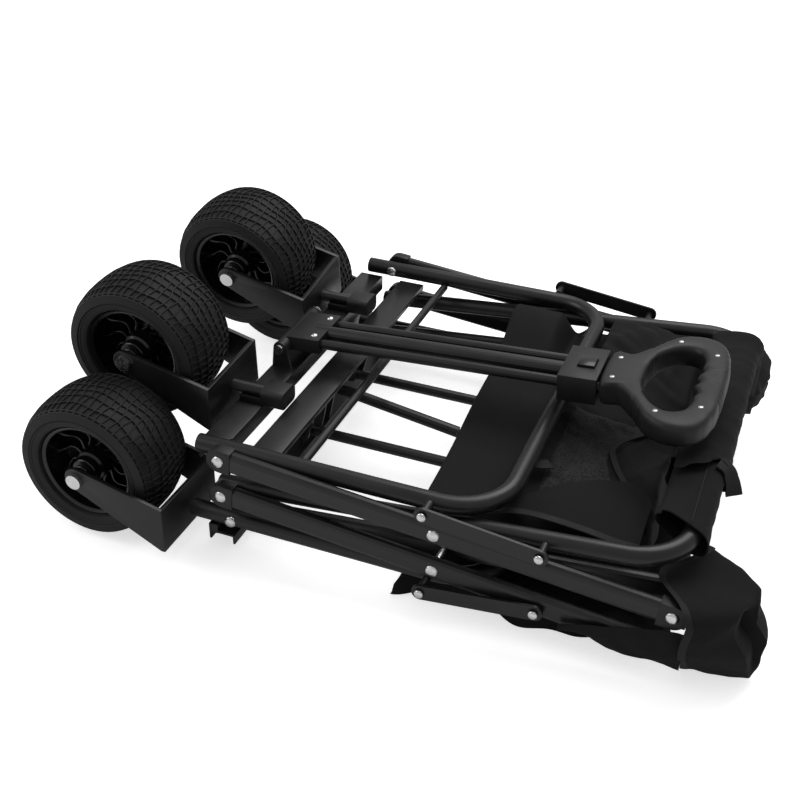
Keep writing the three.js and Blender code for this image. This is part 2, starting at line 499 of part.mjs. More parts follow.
function buildFabric() {
  const inside = INNER_Y - ARM_T - 3 * LAYER_GAP;
  put('fabric_pack', softBlock(BOTTOM_X + 196, TOP_X - 52, -inside, inside, FLOOR_Z + 11, FRONT_Z - 18, 12), 'fabric');
  put('fabric_base', softBlock(BOTTOM_X + 190, TOP_X, -INNER_Y + 5, INNER_Y - 5, 0, REAR_Z - TUBE_R - 3, 12), 'fabric');
  const bar = rodY(TUBE_R + GAP, -LEG_Y - 5, LEG_Y + 5, TOP_X, FRONT_Z, 20);
  put('fabric_sleeve', cut(softBlock(TOP_X - 44, TOP_X + 13, -LEG_Y + RIM_BEND + 3, LEG_Y - RIM_BEND - 3, FRONT_Z - 14, FRONT_Z + 14, 10), bar), 'fabric');
  for (const [side, s] of SIDES) {
    const [y0, y1] = s > 0 ? [152, 264] : [-264, -152];
    const [reach, under, height] = POCKET[side];
    put(`corner_pocket_${side}`, softBlock(TOP_X + CAP_REACH + 7, TOP_X + reach, y0, y1, under, height, 13), 'fabric');
  }
}

buildHoops();
buildCrossMembers();
buildRunningGear();
buildArms();
buildLinks();
buildFloor();
buildHandle();
buildFabric();

export default group;
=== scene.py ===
"""Folding wagon with pull handle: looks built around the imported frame. Metres, Z up."""

import json
import math

import bmesh
import bpy
from mathutils import Matrix, Vector, noise


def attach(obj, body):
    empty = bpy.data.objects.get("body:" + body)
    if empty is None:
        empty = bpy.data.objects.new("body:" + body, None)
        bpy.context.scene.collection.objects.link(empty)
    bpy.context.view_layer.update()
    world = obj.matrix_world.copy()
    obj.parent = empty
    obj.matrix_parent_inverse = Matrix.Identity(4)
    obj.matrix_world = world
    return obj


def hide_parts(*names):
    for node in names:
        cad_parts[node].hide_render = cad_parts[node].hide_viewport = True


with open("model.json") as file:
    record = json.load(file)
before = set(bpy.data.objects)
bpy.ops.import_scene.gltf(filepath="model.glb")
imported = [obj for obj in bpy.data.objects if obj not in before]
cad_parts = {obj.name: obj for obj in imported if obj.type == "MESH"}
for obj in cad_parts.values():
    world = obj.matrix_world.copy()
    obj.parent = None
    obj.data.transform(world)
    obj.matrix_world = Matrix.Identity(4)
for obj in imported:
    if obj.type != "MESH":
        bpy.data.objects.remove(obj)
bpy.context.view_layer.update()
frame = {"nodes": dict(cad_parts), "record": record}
NODES = frame["nodes"]


# ---- small node helpers ----
def new_material(name):
    material = bpy.data.materials.new(name)
    material.use_nodes = True
    nodes = material.node_tree.nodes
    return material, material.node_tree, nodes["Principled BSDF"]


def link(tree, a, out, b, into):
    tree.links.new(a.outputs[out], b.inputs[into])


def add(tree, kind, **values):
    node = tree.nodes.new(kind)
    for key, value in values.items():
        if hasattr(node, key):
            setattr(node, key, value)
        else:
            node.inputs[key].default_value = value
    return node


def ramp(tree, low, high, a=(0, 0, 0, 1), b=(1, 1, 1, 1)):
    node = tree.nodes.new("ShaderNodeValToRGB")
    node.color_ramp.elements[0].position = low
    node.color_ramp.elements[0].color = a
    node.color_ramp.elements[1].position = high
    node.color_ramp.elements[1].color = b
    return node


def grain_group():
    """Fine moulded or sprayed grain: a height and a soft blotch mask."""
    group = bpy.data.node_groups.new("surface_grain", "ShaderNodeTree")
    face = group.interface
    face.new_socket("Fine Scale", in_out="INPUT", socket_type="NodeSocketFloat")
    face.new_socket("Blotch Scale", in_out="INPUT", socket_type="NodeSocketFloat")
    face.new_socket("Height", in_out="OUTPUT", socket_type="NodeSocketFloat")
    face.new_socket("Blotch", in_out="OUTPUT", socket_type="NodeSocketFloat")
    into = group.nodes.new("NodeGroupInput")
    out = group.nodes.new("NodeGroupOutput")
    place = group.nodes.new("ShaderNodeTexCoord")
    fine = add(group, "ShaderNodeTexNoise", Detail=3.0)
    blotch = add(group, "ShaderNodeTexNoise", Detail=5.0, Roughness=0.6)
    for pattern, scale in ((fine, "Fine Scale"), (blotch, "Blotch Scale")):
        link(group, place, "Object", pattern, "Vector")
        link(group, into, scale, pattern, "Scale")
    spread = ramp(group, 0.35, 0.7)
    link(group, blotch, "Fac", spread, "Fac")
    link(group, fine, "Fac", out, "Height")
    link(group, spread, "Color", out, "Blotch")
    return group


GRAIN = grain_group()


def worn_material(name, dark, light, rough, fine, blotch, bump, metallic=0.0, shine=0.5):
    """Painted or moulded surface whose colour and roughness drift a little over the piece."""
    material, tree, shader = new_material(name)
    group = tree.nodes.new("ShaderNodeGroup")
    group.node_tree = GRAIN
    group.inputs["Fine Scale"].default_value = fine
    group.inputs["Blotch Scale"].default_value = blotch
    colour = add(tree, "ShaderNodeMix", data_type="RGBA")
    colour.inputs[6].default_value = (*dark, 1)
    colour.inputs[7].default_value = (*light, 1)
    link(tree, group, "Blotch", colour, 0)
    tree.links.new(colour.outputs[2], shader.inputs["Base Color"])
    spread = add(tree, "ShaderNodeMapRange")
    spread.inputs["To Min"].default_value = rough[0]
    spread.inputs["To Max"].default_value = rough[1]
    link(tree, group, "Blotch", spread, "Value")
    link(tree, spread, "Result", shader, "Roughness")
    relief = add(tree, "ShaderNodeBump", Strength=bump[0], Distance=bump[1])
    link(tree, group, "Height", relief, "Height")
    link(tree, relief, "Normal", shader, "Normal")
    shader.inputs["Metallic"].default_value = metallic
    shader.inputs["Specular IOR Level"].default_value = shine
    return material


PAINT = worn_material("black_powder_coat", (0.006, 0.006, 0.0063), (0.010, 0.010, 0.0105), (0.30, 0.42),
                      1400, 22, (0.2, 0.0002), shine=0.42)
PLASTIC = worn_material("black_moulded_plastic", (0.006, 0.006, 0.006), (0.010, 0.010, 0.010), (0.42, 0.56),
                        2200, 18, (0.3, 0.0002), shine=0.38)
GLOSS = worn_material("black_gloss_plastic", (0.004, 0.004, 0.0044), (0.007, 0.007, 0.0074), (0.2, 0.3),
                      900, 25, (0.06, 0.0001), shine=0.42)
TYRE = worn_material("black_tyre", (0.006, 0.006, 0.006), (0.012, 0.0117, 0.0113), (0.55, 0.72), 1600, 30,
                     (0.35, 0.0003), shine=0.3)
STEEL = worn_material("bright_steel", (0.62, 0.62, 0.63), (0.78, 0.78, 0.78), (0.18, 0.32), 1800, 60,
                      (0.08, 0.0001), metallic=1.0, shine=0.5)
CLOTH = worn_material("black_polyester", (0.0062, 0.0062, 0.0066), (0.0105, 0.0105, 0.0112), (0.75, 0.92),
                      2500, 12, (0.45, 0.0004), shine=0.16)


def net_material():
    """Knitted mesh: round holes between dull threads."""
    material, tree, shader = new_material("black_net")
    place = add(tree, "ShaderNodeTexCoord")
    cells = add(tree, "ShaderNodeTexVoronoi", feature="F1")
    cells.inputs["Scale"].default_value = 430
    link(tree, place, "Object", cells, "Vector")
    threads = ramp(tree, 0.25, 0.62, (0.001, 0.001, 0.001, 1), (0.017, 0.017, 0.0175, 1))
    link(tree, cells, "Distance", threads, "Fac")
    link(tree, threads, "Color", shader, "Base Color")
    relief = add(tree, "ShaderNodeBump", Strength=0.8, Distance=0.0008)
    link(tree, cells, "Distance", relief, "Height")
    link(tree, relief, "Normal", shader, "Normal")
    shader.inputs["Roughness"].default_value = 0.7
    shader.inputs["Specular IOR Level"].default_value = 0.25
    return material


NET = net_material()
WEBBING = worn_material("black_webbing", (0.006, 0.006, 0.006), (0.013, 0.013, 0.0135), (0.6, 0.8), 1500, 40,
                        (0.5, 0.0004), shine=0.25)

FINISH = {"paint": PAINT, "plastic": PLASTIC, "gloss_plastic": GLOSS, "tyre": TYRE, "steel": STEEL,
          "fabric": CLOTH}
for part in frame["record"]["subparts"]:
    piece = NODES[part["node"]]
    piece.data.materials.clear()
    piece.data.materials.append(FINISH[part["material_slot"]])


# ---- shape helpers ----
BODY_OF = {node: body for body, nodes in frame["record"]["behaviour"]["bodies"].items() for node in nodes}


def finish_piece(name, bm, material, body, smooth_angle=35):
    """Closes up the mesh, turns its faces outward and puts it on its body."""
    bmesh.ops.remove_doubles(bm, verts=bm.verts, dist=1e-6)
    bmesh.ops.recalc_face_normals(bm, faces=bm.faces)
    mesh = bpy.data.meshes.new(name)
    bm.to_mesh(mesh)
    bm.free()
    mesh.shade_smooth()
    mesh.set_sharp_from_angle(angle=math.radians(smooth_angle))
    piece = bpy.data.objects.new(name, mesh)
    bpy.context.scene.collection.objects.link(piece)
    mesh.materials.append(material)
    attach(piece, body)
    return piece


def lathe(bm, profile, steps):
    """Spins a (radius, along-the-axle) outline round the Y axis and returns its faces."""
    verts = [bm.verts.new((r, y, 0)) for r, y in profile]
    edges = [bm.edges.new(pair) for pair in zip(verts, verts[1:])]
    before = set(bm.faces)
    bmesh.ops.spin(bm, geom=verts + edges, cent=(0, 0, 0), axis=(0, 1, 0), angle=2 * math.pi, steps=steps,
                   use_merge=True)
    bmesh.ops.remove_doubles(bm, verts=bm.verts, dist=1e-6)
    return [face for face in bm.faces if face not in before]


def soften(name, width, segments=2, angle=30):
    """A copy of a CAD piece with its hard edges rounded off, shown in its place."""
    source = NODES[name]
    bm = bmesh.new()
    bm.from_mesh(source.data)
    bmesh.ops.remove_doubles(bm, verts=bm.verts, dist=2e-6)
    bmesh.ops.dissolve_limit(bm, angle_limit=math.radians(1.5), verts=bm.verts, edges=bm.edges)
    sharp = [e for e in bm.edges if len(e.link_faces) == 2 and e.calc_face_angle(0) > math.radians(angle)]
    bmesh.ops.bevel(bm, geom=sharp, offset=width, offset_type="OFFSET", affect="EDGES", segments=segments,
                    profile=0.5, material=-1, clamp_overlap=True)
    bmesh.ops.triangulate(bm, faces=[f for f in bm.faces if len(f.verts) > 4])
    piece = finish_piece("soft_edged_" + name, bm, source.data.materials[0], BODY_OF[name], 28)
    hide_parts(name)
    return piece


# ---- wheels ----
WHEEL_R, HALF_WIDTH, AXLE_X = 0.089, 0.047, -0.318
LEG_Y, CASTER_Y, CASTER_Z, TRAIL = 0.237, 0.122, 0.140, 0.040
CASTER_TURN = {"right": 3, "left": 7.5}
RIM_R = 0.64 * WHEEL_R
LUGS = 60


def wheel_place(kind, side):
    """Where a wheel's centre plane goes: rear wheels upright, casters turned a little as parked."""
    sign = -1 if side == "right" else 1
    if kind == "rear":
        return Matrix.Translation((AXLE_X, sign * LEG_Y, WHEEL_R))
    turn = math.radians(CASTER_TURN[side])
    return (Matrix.Translation((0, sign * CASTER_Y, CASTER_Z)) @ Matrix.Rotation(turn, 4, "X")
            @ Matrix.Translation((AXLE_X, 0, TRAIL)))


def tyre_mesh():
    """Wide tyre: blocks between wavy grooves on the crown, a comb of lugs down each shoulder."""
    bm = bmesh.new()
    across = [-0.041, -0.030, -0.0165, -0.0055, 0.0055, 0.0165, 0.030, 0.041]

    def crown(y):
        return WHEEL_R - 0.0022 - 0.0065 * (abs(y) / 0.041) ** 2.6

    side = [(RIM_R + 0.0004, 0.0385), (RIM_R + 0.002, 0.0425), (RIM_R + 0.006, 0.0445),
            (RIM_R + 0.0085, 0.0447), (RIM_R + 0.0092, 0.0456), (RIM_R + 0.0102, 0.0456),
            (RIM_R + 0.0109, 0.0449), (WHEEL_R - 0.0195, 0.0462), (WHEEL_R - 0.0105, 0.0445)]
    tread = [(crown(y), y) for y in across]
    outline = [(r, -y) for r, y in side] + tread + [(r, y) for r, y in reversed(side)]
    outline.append(outline[0])
    lathe(bm, outline[:-1], LUGS)
    inner = [e for e in bm.edges if e.is_boundary]
    bmesh.ops.bridge_loops(bm, edges=inner)
    crown_faces, shoulder_faces = [], []
    for face in bm.faces:
        centre = face.calc_center_median()
        radius = math.hypot(centre.x, centre.z)
        if abs(centre.y) < 0.0405 and radius > WHEEL_R - 0.012:
            crown_faces.append(face)
        elif abs(centre.y) < 0.0449 and radius > WHEEL_R - 0.0120:
            shoulder_faces.append(face)
    step = 2 * math.pi / LUGS
    for vert in bm.verts:
        radius = math.hypot(vert.co.x, vert.co.z)
        if radius < WHEEL_R - 0.0105 or abs(vert.co.y) > 0.0405:
            continue
        around = math.atan2(vert.co.z, vert.co.x)
        phase = round(around / step)
        sway = 0.34 * math.sin(vert.co.y / 0.0125) + 0.16 * math.sin(phase * 2.1 + vert.co.y * 160)
        share = 1 if abs(vert.co.y) < 0.036 else 0.35
        vert.co.y += 0.0019 * math.sin(phase * 1.047 + vert.co.y * 90) * share
        around += step * sway
        vert.co.x, vert.co.z = radius * math.cos(around), radius * math.sin(around)
    for faces, inset, rise, even in ((crown_faces, 0.00055, 0, True), (crown_faces, 0.00035, 0.0019, True),
                                     (shoulder_faces, 0.0014, 0, False),
                                     (shoulder_faces, 0.0005, 0.0016, False)):
        bmesh.ops.inset_individual(bm, faces=faces, thickness=inset, depth=rise, use_even_offset=even)
    return bm


def rim_mesh():
    """Deep dish with a rolled lip, a set-back web, twelve curved spokes on each side and a stepped hub."""
    bm = bmesh.new()
    reach = HALF_WIDTH
    half = [(0.0064, reach - 0.001), (0.0095, reach - 0.001), (0.0102, reach - 0.0018),
            (0.0102, reach - 0.006), (0.0145, reach - 0.0065), (0.0153, reach - 0.0075),
            (0.0158, reach - 0.016), (0.0185, reach - 0.018), (0.0195, 0.008), (0.030, 0.004),
            (RIM_R - 0.0065, 0.004), (RIM_R - 0.005, 0.010), (RIM_R - 0.0042, reach - 0.012),
            (RIM_R - 0.0048, reach - 0.0095), (RIM_R - 0.0035, reach - 0.0085),
            (RIM_R - 0.0012, reach - 0.0078), (RIM_R, reach - 0.0088)]
    outline = [(r, -y) for r, y in half] + [(r, y) for r, y in reversed(half)]
    lathe(bm, outline, 72)
    bmesh.ops.bridge_loops(bm, edges=[e for e in bm.edges if e.is_boundary])
    spoke = bmesh.new()
    bmesh.ops.create_grid(spoke, x_segments=10, y_segments=1, size=0.5)
    for vert in spoke.verts:
        along = vert.co.x + 0.5
        radius = 0.0178 + along * (RIM_R - 0.0045 - 0.0178)
        bend = 0.34 * math.sin(along * math.pi) * (1 - 0.35 * along) + 0.10 * math.sin(along * 2 * math.pi)
        half_thick = 0.0012 + 0.0016 * (2 * along - 1) ** 2
        angle = bend + vert.co.y * 2 * half_thick / radius
        vert.co = (radius * math.cos(angle), 0.0035, radius * math.sin(angle))
    up = bmesh.ops.extrude_face_region(spoke, geom=list(spoke.faces))
    for vert in (v for v in up["geom"] if isinstance(v, bmesh.types.BMVert)):
        radius = math.hypot(vert.co.x, vert.co.z)
        vert.co.y += 0.0115 + 0.006 * (radius - 0.0178) / RIM_R
    bmesh.ops.bevel(spoke, geom=[e for e in spoke.edges if all(v.co.y > 0.01 for v in e.verts) and
                                 e.calc_face_angle(0) > 1], offset=0.0007, affect="EDGES", segments=2,
                    profile=0.5, material=-1)
    for turn in range(12):
        for flip in (1, -1):
            piece = spoke.copy()
            bmesh.ops.rotate(piece, verts=piece.verts, cent=(0, 0, 0),
                             matrix=Matrix.Rotation(turn * math.pi / 6, 3, "Y"))
            if flip < 0:
                bmesh.ops.rotate(piece, verts=piece.verts, cent=(0, 0, 0),
                                 matrix=Matrix.Rotation(math.pi, 3, "X"))
            part = bpy.data.meshes.new("spoke")
            piece.to_mesh(part)
            piece.free()
            bm.from_mesh(part)
            bpy.data.meshes.remove(part)
    spoke.free()
    return bm


def build_wheels():
    for kind in ("rear", "caster"):
        for side in ("right", "left"):
            place = wheel_place(kind, side)
            body = BODY_OF[f"{kind}_tyre_{side}"]
            for word, make, material, slot_name in (("tyre", tyre_mesh, TYRE, "tyre"),
                                                    ("rim", rim_mesh, GLOSS, "gloss_plastic")):
                bm = make()
                bmesh.ops.transform(bm, matrix=place, verts=bm.verts)
                piece = finish_piece(f"{kind}_{word}_{side}_look", bm, material, body, 32)
                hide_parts(f"{kind}_{word}_{side}")


def round_hard_edges():
    for kind in ("rear", "caster"):
        for side in ("right", "left"):
            soften(f"{kind}_fork_{side}", 0.0012, 3)
    for name in ("front_cross_plate", "front_crossbar", "rear_crossbar", "handle_lock_block", "handle_yoke",
                 "swivel_housing_right", "swivel_housing_left", "handle_lock_button"):
        soften(name, 0.0009)
    for side in ("right", "left"):
        for name in ("front_arm_cap", "rear_arm_cap"):
            soften(f"{name}_{side}", 0.0012)


build_wheels()
round_hard_edges()


# ---- bent tube hoops ----
BOTTOM_X, HOOP_X, TOP_X = -0.156, 0.144, 0.3278
REAR_Z, MID_Z, FRONT_Z = 0.046, 0.092, 0.138
ARM_LENGTH, CELL_FOLDED = 0.486, 0.046
TUBE_R, HOOP_BEND, RIM_BEND = 0.010, 0.062, 0.055


def hoop_path(x0, x1, half, corner, lift):
    """Centre line of a hoop: a leg, a round corner, the bar, a corner and the other leg."""
    points = [(x0 + (x1 - corner - x0) * i / 12, -half) for i in range(12)]
    for i in range(17):
        t = i / 16 * math.pi / 2
        points.append((x1 - corner + corner * math.sin(t), -half + corner - corner * math.cos(t)))
    points += [(x1, (half - corner) * (i / 6 - 1)) for i in range(1, 6)] + [(x1, 0)]
    points += [(x, -y) for x, y in reversed(points[:-1])]
    return [Vector((x, y, lift(x))) for x, y in points]


def round_hoop(name, path):
    """Round tube swept along a hoop's centre line, open at its cut ends."""
    bm = bmesh.new()
    bmesh.ops.create_grid(bm, x_segments=len(path) - 1, y_segments=24, size=0.5)
    up = (path[len(path) // 2] - path[0]).cross(Vector((0, 1, 0))).normalized() * -1
    for vert in bm.verts:
        i = round((vert.co.x + 0.5) * (len(path) - 1))
        ahead, behind = path[min(i + 1, len(path) - 1)], path[max(i - 1, 0)]
        tangent = (ahead - behind).normalized()
        side = tangent.cross(up).normalized()
        turn = (vert.co.y + 0.5) * 2 * math.pi
        vert.co = path[i] + (side * math.cos(turn) + up * math.sin(turn)) * TUBE_R
    bmesh.ops.remove_doubles(bm, verts=bm.verts, dist=1e-6)
    rims = [e for e in bm.edges if e.is_boundary]
    into = (path[1] - path[0]).normalized()
    for bore in (0.0, 0.03):
        out = bmesh.ops.extrude_edge_only(bm, edges=rims)
        rims = [g for g in out["geom"] if isinstance(g, bmesh.types.BMEdge)]
        for vert in (g for g in out["geom"] if isinstance(g, bmesh.types.BMVert)):
            end = path[0] if vert.co.y < 0 else path[-1]
            vert.co = vert.co + into * bore if bore else end + (vert.co - end) * 0.85
    bmesh.ops.holes_fill(bm, edges=[e for e in bm.edges if e.is_boundary])
    bmesh.ops.triangulate(bm, faces=[f for f in bm.faces if len(f.verts) > 4])
    piece = finish_piece("round_" + name, bm, PAINT, BODY_OF[name], 40)
    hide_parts(name)


def build_hoops():
    rise = math.tan(math.asin(CELL_FOLDED / ARM_LENGTH))
    round_hoop("front_hoop", hoop_path(BOTTOM_X - 0.036, HOOP_X, LEG_Y, HOOP_BEND, lambda x: FRONT_Z))
    round_hoop("rear_hoop", hoop_path(BOTTOM_X - 0.050, HOOP_X, LEG_Y, HOOP_BEND, lambda x: REAR_Z))
    round_hoop("upper_hoop", hoop_path(BOTTOM_X - 0.012, TOP_X, LEG_Y, RIM_BEND,
                                       lambda x: MID_Z + (x - BOTTOM_X) * rise))


build_hoops()


# ---- pull handle grip, screws, arm ends and rivets ----
HANDLE_AT = Matrix.Translation((-0.189, 0, 0.155)) @ Matrix.Rotation(math.radians(-3.8), 4, "Y")
GRIP_X = 0.383


def between(a, b, c, d, t):
    """A point from b to c on the smooth curve through a, b, c and d."""
    curve = (2 * a - 5 * b + 4 * c - d) * t * t
    return 0.5 * ((2 * b) + (c - a) * t + curve + (3 * b - a - 3 * c + d) * t ** 3)


def smooth_loop(points, turn):
    """A point on the smooth closed curve through the points, turn from 0 to 1."""
    at = (turn % 1.0) * len(points)
    i, t = int(at), at - int(at)
    a, b, c, d = (Vector((*points[(i + k) % len(points)], 0)) for k in (-1, 0, 1, 2))
    spot = between(a, b, c, d, t)
    return spot.x, spot.y


def reach_at(points, angle, middle):
    """Distance from the middle to a closed outline in one direction."""
    best = None
    steps = 240
    for i in range(steps):
        x, y = smooth_loop(points, i / steps)
        off = math.remainder(math.atan2(y, x - middle) - angle, 2 * math.pi)
        if best is None or abs(off) < best[0]:
            best = (abs(off), math.hypot(x - middle, y))
    return best[1]


def mirrored(points):
    return points + [(x, -y) for x, y in reversed(points[:-1])]


def build_grip():
    """Rounded D-shaped loop with finger waves along the inside of its bar."""
    outer = mirrored([(0.000, -0.034), (0.020, -0.036), (0.037, -0.054), (0.060, -0.088), (0.080, -0.101),
                      (0.104, -0.100), (0.119, -0.087), (0.127, -0.062), (0.130, -0.030), (0.1305, 0.0)])
    hole = mirrored([(0.045, -0.024), (0.056, -0.052), (0.076, -0.069), (0.095, -0.062), (0.102, -0.034),
                     (0.100, 0.0)])
    middle, around, section = 0.076, 240, 28
    reach = []
    for i in range(around):
        angle = 2 * math.pi * i / around
        far, near = reach_at(outer, angle, middle), reach_at(hole, angle, middle)
        across = near * math.sin(angle)
        if math.cos(angle) > 0 and abs(across) < 0.046:
            finger = 0.0024 * math.cos(across * 2 * math.pi / 0.0225)
            near += finger * ease(0.046, 0.036, abs(across)) - 0.0008
        reach.append((near, far))
    bm = sheet_grid(around, section)
    for vert in bm.verts:
        i = round(vert.co.x * around) % around
        angle, turn = 2 * math.pi * i / around, 2 * math.pi * vert.co.y
        near, far = reach[i]
        c, s = math.cos(turn), math.sin(turn)
        half = (far - near) / 2
        flat = 0.55 if math.cos(angle) > -0.55 else 0.38
        r = (far + near) / 2 + half * math.copysign(abs(c) ** flat, c)
        z = 0.0146 * math.copysign(abs(s) ** flat, s)
        across, along = r * math.sin(angle), r * math.cos(angle)
        if s > 0 and along > 0.026 and abs(across) < 0.030:
            z += 0.00035 * math.cos(across * 2 * math.pi / 0.0048) * ease(0.4, 0.8, s)
        vert.co = (GRIP_X + middle + r * math.cos(angle), r * math.sin(angle), z)
    bmesh.ops.transform(bm, matrix=HANDLE_AT, verts=bm.verts)
    piece = finish_piece("handle_grip_look", bm, PLASTIC, "handle_upper", 50)
    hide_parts("handle_grip")


def dome(bm, place, radius, height, socket=0.0):
    """A domed head pointing along the placed Y axis, with a drive socket when one is asked for."""
    part = bmesh.new()
    outline = [(0.0, -0.001), (radius, -0.001), (radius, 0.15 * height), (0.93 * radius, 0.45 * height),
               (0.72 * radius, 0.78 * height), (0.46 * radius, 0.97 * height)]
    if socket:
        outline += [(socket, height), (0.9 * socket, 0.35 * height), (0.0, 0.35 * height)]
    else:
        outline.append((0.0, height))
    lathe(part, outline, 24)
    bmesh.ops.transform(part, matrix=place, verts=part.verts)
    mesh = bpy.data.meshes.new("head")
    part.to_mesh(mesh)
    part.free()
    bm.from_mesh(mesh)
    bpy.data.meshes.remove(mesh)


def heads(name, body, places, radius, height, socket=0.0):
    """Rivet or screw heads that sit on one body, in one piece."""
    bm = bmesh.new()
    for place in places:
        dome(bm, place, radius, height, socket)
    finish_piece(name, bm, STEEL, body, 40)


def arm_end(cell, side, z):
    """Plastic cap closing the top end of an outer arm: a copy of the foot cap, turned end for end."""
    source = NODES[f"front_arm_cap_{side}"]
    bm = bmesh.new()
    bm.from_mesh(source.data)
    bmesh.ops.remove_doubles(bm, verts=bm.verts, dist=2e-6)
    bmesh.ops.dissolve_limit(bm, angle_limit=math.radians(1.5), verts=bm.verts, edges=bm.edges)
    turn = (Matrix.Translation((TOP_X, 0, z)) @ Matrix.Rotation(math.pi, 4, "Y")
            @ Matrix.Translation((-BOTTOM_X, 0, -FRONT_Z)))
    bmesh.ops.transform(bm, matrix=turn, verts=bm.verts)
    bmesh.ops.triangulate(bm, faces=[f for f in bm.faces if len(f.verts) > 4])
    finish_piece(f"{cell}_arm_top_cap_{side}", bm, PLASTIC, BODY_OF[f"{cell}_arm_{side}"], 30)


def build_handle_screws():
    upward = Matrix.Rotation(math.pi / 2, 4, "X")
    grip_top, fork_top = 0.0142, 0.009
    spots = [(0.3945, 0.0225), (0.452, 0.0785), (0.4955, 0.0575)]
    places = [HANDLE_AT @ Matrix.Translation((x, s * y, grip_top)) @ upward
              for x, y in spots for s in (-1, 1)]
    heads("grip_screws", "handle_upper", places, 0.0030, 0.0013, 0.0012)
    places = [HANDLE_AT @ Matrix.Translation((0.034, s * 0.023, fork_top)) @ upward for s in (-1, 1)]
    heads("yoke_bolts", BODY_OF["handle_yoke"], places, 0.0042, 0.0024, 0.0018)


def build_side_rivets(side, sign):
    """Heads on the outer faces of one side's caps, rear hoop leg and links."""
    outward = Matrix.Identity(4) if sign > 0 else Matrix.Rotation(math.pi, 4, "Z")
    cap_face, leg_face, link_face = 0.2625, 0.2466, 0.2715
    link_xs = (0.076, 0.1964)

    def spot(x, y, z):
        return Matrix.Translation((x, sign * y, z)) @ outward

    heads(f"front_arm_top_rivet_{side}", BODY_OF[f"front_arm_{side}"], [spot(TOP_X, cap_face, MID_Z)],
          0.0068, 0.0026)
    heads(f"rear_arm_rivets_{side}", BODY_OF[f"rear_arm_{side}"],
          [spot(TOP_X, cap_face, REAR_Z), spot(BOTTOM_X, cap_face, MID_Z)], 0.0068, 0.0026)
    heads(f"rear_foot_rivet_{side}", BODY_OF["rear_hoop"], [spot(BOTTOM_X, leg_face, REAR_Z)], 0.0068, 0.0030)
    for link_name, zs in (("front_link", (0.142, 0.1275)), ("rear_link", (0.042, 0.0565))):
        places = [spot(x, link_face, z) for x, z in zip(link_xs, zs)]
        heads(f"{link_name}_rivets_{side}", BODY_OF[f"{link_name}_{side}"], places, 0.0050, 0.0022)


def build_hardware():
    build_handle_screws()
    for side, sign in (("right", -1), ("left", 1)):
        arm_end("front", side, MID_Z)
        arm_end("rear", side, REAR_Z)
        build_side_rivets(side, sign)


# ---- the folded fabric tub ----
def ease(low, high, value):
    t = min(1.0, max(0.0, (value - low) / (high - low)))
    return t * t * (3 - 2 * t)


def crease(x, y, across, along, turn):
    """Height from 0 to 1 of soft folds that run one way, x and y in metres."""
    c, s = math.cos(turn), math.sin(turn)
    spot = Vector(((x * c + y * s) / across, (y * c - x * s) / along, 3.7))
    return (1 - abs(noise.noise(spot)) * 2.2) * 0.5 + 0.25 * noise.noise(spot * 2.3)


def wrinkle(spot, size, seed):
    return noise.noise(Vector((spot.x / size + seed, spot.y / size, spot.z / size)))


def sheet_grid(columns, rows):
    bm = bmesh.new()
    bmesh.ops.create_grid(bm, x_segments=columns, y_segments=rows, size=0.5)
    for vert in bm.verts:
        vert.co.x += 0.5
        vert.co.y += 0.5
    return bm


def heap_top(x, y):
    """Height of the folded walls that fill the hoops: a flat panel, a far hump and loose folds."""
    panel = 0.1145 + 0.0022 * crease(x, y, 0.05, 0.16, 0.35)
    panel += 0.034 * ease(0.075, 0.178, y) * ease(0.120, 0.095, x) * (1 - 0.45 * ease(0.185, 0.206, y))
    loose = 0.117 + 0.011 * crease(x, y, 0.055, 0.12, -0.5) - 0.004 * crease(x, y, 0.02, 0.05, 0.9)
    loose += 0.026 * ease(0.06, 0.17, y) - 0.026 * ease(-0.10, -0.20, y) * ease(0.10, 0.17, x)
    loose -= 0.006 * ease(0.20, 0.28, x)
    height = panel + (loose - panel) * ease(0.112, 0.158, x)
    under_bar = 1 - min(1.0, abs(x - 0.144) / 0.022)
    return min(height, 0.150 - 0.028 * ease(0.0, 0.5, under_bar) if under_bar > 0 else height)


def build_heap():
    bm = sheet_grid(118, 176)
    for vert in bm.verts:
        u, v = vert.co.x, vert.co.y
        y = -0.2055 + 0.411 * v
        left = 0.052 - 0.020 * v + 0.0012 * math.sin(v * 9)
        right = 0.284 + 0.003 * math.sin(v * 14)
        x = left + (right - left) * u
        rim = min(1.0, min(u * (right - left), v * 0.411, (1 - v) * 0.411, (1 - u) * (right - left)) / 0.007)
        round_off = math.sqrt(max(0.0, 1 - (1 - rim) ** 2))
        top = heap_top(x, y)
        vert.co = (x, y, top - 0.009 * (1 - round_off))
    edge = [e for e in bm.edges if e.is_boundary]
    floor_z = 0.0755
    for share in (0.33, 0.66, 1.0):
        out = bmesh.ops.extrude_edge_only(bm, edges=edge)
        verts = [g for g in out["geom"] if isinstance(g, bmesh.types.BMVert)]
        for vert in verts:
            bulge = 0.0035 * math.sin(share * math.pi) * (0.6 + wrinkle(vert.co, 0.03, 5))
            drop = (vert.co.z - floor_z) * (0.33 if share < 0.5 else 0.5 if share < 0.9 else 1.0)
            middle = Vector((0.162, 0, 0))
            away = Vector((vert.co.x - middle.x, vert.co.y * 0.6, 0)).normalized()
            vert.co += away * bulge - Vector((0, 0, drop))
        edge = [g for g in out["geom"] if isinstance(g, bmesh.types.BMEdge)]
    bmesh.ops.holes_fill(bm, edges=[e for e in bm.edges if e.is_boundary])
    bmesh.ops.triangulate(bm, faces=[f for f in bm.faces if len(f.verts) > 4])
    piece = finish_piece("folded_tub_walls", bm, CLOTH, "floor_frame", 60)
    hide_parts("fabric_pack")


